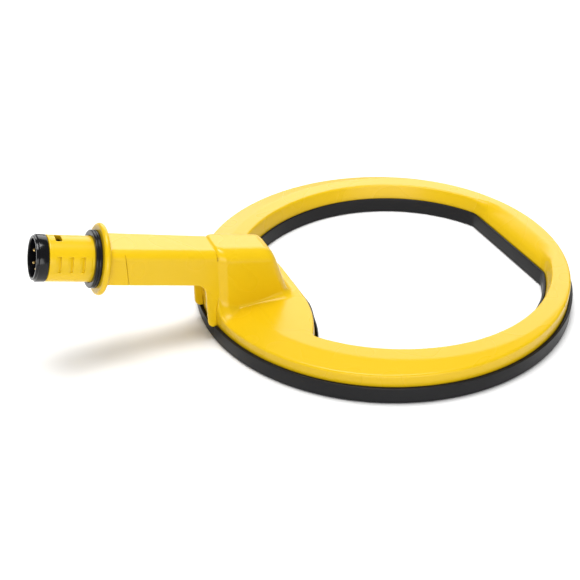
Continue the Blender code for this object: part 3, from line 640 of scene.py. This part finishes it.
def skin(obj, body, node, slot, mat):
    """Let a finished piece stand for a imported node."""
    obj.data.materials.append(mat)
    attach(obj, body)
    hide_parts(node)


yellow = moulded("yellow_plastic", (0.660, 0.424, 0.004), (0.665, 0.430, 0.005), (0.270, 0.280),
                 specular=0.29)
black_cover = moulded("black_cover_plastic", (0.006, 0.006, 0.007), (0.008, 0.008, 0.009), (0.38, 0.46),
                      specular=0.18)
black_gloss = moulded("black_gloss_plastic", (0.003, 0.003, 0.004), (0.005, 0.005, 0.006), (0.10, 0.16),
                      specular=0.3)
black_rubber = moulded("black_rubber", (0.006, 0.006, 0.007), (0.010, 0.010, 0.011), (0.15, 0.20),
                       specular=0.2)
black_block = moulded("black_insulator_plastic", (0.012, 0.012, 0.013), (0.018, 0.018, 0.019), (0.3, 0.4))
gold = moulded("gold_contacts", (0.80, 0.52, 0.16), (0.88, 0.62, 0.24), (0.16, 0.26), metallic=1.0)
copper = moulded("copper_wire", (0.52, 0.20, 0.08), (0.68, 0.30, 0.14), (0.28, 0.40), metallic=1.0)
tape = moulded("tan_tape", (0.42, 0.28, 0.12), (0.55, 0.38, 0.18), (0.6, 0.75), bump=(2600.0, 0.00005))
foil = moulded("shield_foil", (0.50, 0.51, 0.53), (0.66, 0.67, 0.69), (0.22, 0.38), metallic=1.0,
               bump=(700.0, 0.00006))
resin = moulded("dark_epoxy", (0.030, 0.024, 0.020), (0.048, 0.040, 0.034), (0.25, 0.4))


# ------------------------------------------------------------------ pieces

FINE = 1.0
angles = ring_angles(0.28 * FINE, 0.42 * FINE, 0.8 * FINE)
shell = nets("ring_shell_skin", shell_field,
             (angles, span(44.0, 99.0, 0.45 * FINE), span(1.4, 51.8, 0.45 * FINE)),
             around_ring, ring=True)
skin(shell, "coil_head", "coil_top_shell", "yellow_plastic", yellow)

arm = nets("arm_skin", arm_field,
           (span(-140.0, -83.0, 0.4 * FINE), span(-12.4, 12.4, 0.4 * FINE), span(6.9, 62.3, 0.4 * FINE)),
           plain)
skin(arm, "coil_head", "arm_shell", "yellow_plastic", yellow)

tube = nets("tube_skin", tube_field,
            (span(5.0, 53.0, 0.32 * FINE), span(-17.8, 17.8, 0.32 * FINE),
             span(-17.8, 17.8, 0.32 * FINE)), along_axis)
skin(tube, "coil_head", "connector_tube", "yellow_plastic", yellow)

cover = make_scuff_cover("scuff_cover_skin")
skin(cover, "scuff_cover_body", "scuff_cover", "black_cover_plastic", black_cover)

gasket = turned("gasket_skin", rounded([
    (26.2, 11.1, 0.2), (26.2, 13.7, 0.45), (27.5, 13.7, 0.3), (27.65, 13.15, 0.1), (27.8, 13.7, 0.3),
    (29.1, 13.7, 0.4), (29.1, 11.1, 0.2)]))
skin(gasket, "coil_head", "flange_gasket", "black_rubber", black_rubber)

plug = turned("plug_skin", rounded([
    (0.0, 9.2, 0.12), (0.0, 10.2, 0.3), (0.95, 10.25, 0.15), (1.25, 11.0, 0.35), (5.5, 11.0, 0.4),
    (5.5, 8.25), (10.0, 8.25), (10.0, 7.65), (12.0, 7.65), (12.0, 8.25), (19.0, 8.25, 0.2),
    (19.0, 7.2, 0.1), (4.9, 7.2, 0.2), (4.9, 8.9, 0.2), (0.45, 8.9, 0.1)]))
skin(plug, "coil_head", "plug_shell", "black_gloss_plastic", black_gloss)

FINISHES = {
    "coil_bottom_plate": yellow, "copper_winding": copper, "coil_lead": copper, "plug_wire": copper,
    "winding_tape": tape, "shield_wrap": foil, "potting_bed": resin, "arm_seal_plug": black_rubber,
    "lead_": black_rubber, "plug_o_ring": black_rubber, "contact_insulator": black_block,
    "insulator_ring": black_block, "contact_pin": gold,
}
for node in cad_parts:
    for start, mat in FINISHES.items():
        if node.startswith(start):
            dress(node, mat)


# ------------------------------------------------------------------ studio

FLOOR_HALF = 3.0


def add_floor():
    mesh = bpy.data.meshes.new("floor")
    size = FLOOR_HALF
    mesh.from_pydata([(-size, -size, 0), (size, -size, 0), (size, size, 0), (-size, size, 0)], [],
                     [(0, 1, 2, 3)])
    floor = bpy.data.objects.new("floor", mesh)
    bpy.context.collection.objects.link(floor)
    mesh.materials.append(new_material("floor_white", (0.93, 0.93, 0.925), 0.8, specular=0.1)[0])


def add_light(name, place, size, power):
    """Softbox of a width and height in metres, aimed at the model's origin."""
    data = bpy.data.lights.new(name, "AREA")
    data.shape = "RECTANGLE"
    data.size, data.size_y = size
    data.energy = power
    light = bpy.data.objects.new(name, data)
    aim = -Vector(place)
    light.matrix_world = Matrix.Translation(place) @ aim.to_track_quat("-Z", "Y").to_matrix().to_4x4()
    bpy.context.collection.objects.link(light)


def add_world(strength):
    world = bpy.data.worlds.new("studio")
    bpy.context.scene.world = world
    world.use_nodes = True
    back = world.node_tree.nodes["Background"]
    back.inputs["Color"].default_value = (1.0, 1.0, 1.0, 1.0)
    back.inputs["Strength"].default_value = strength


add_floor()
add_world(0.20)
add_light("top_softbox", (-0.03, 0.02, 1.0), (0.48, 0.6), 10.5)
add_light("back_softbox", (0.47, 1.16, 0.70), (1.6, 0.85), 13.5)
add_light("front_fill", (-0.45, -1.43, 0.35), (1.6, 0.7), 16.0)
scene = bpy.context.scene
scene.view_settings.view_transform = "Standard"
scene.view_settings.look = "None"
scene.view_settings.exposure = 0.0
scene.view_settings.gamma = 1.0
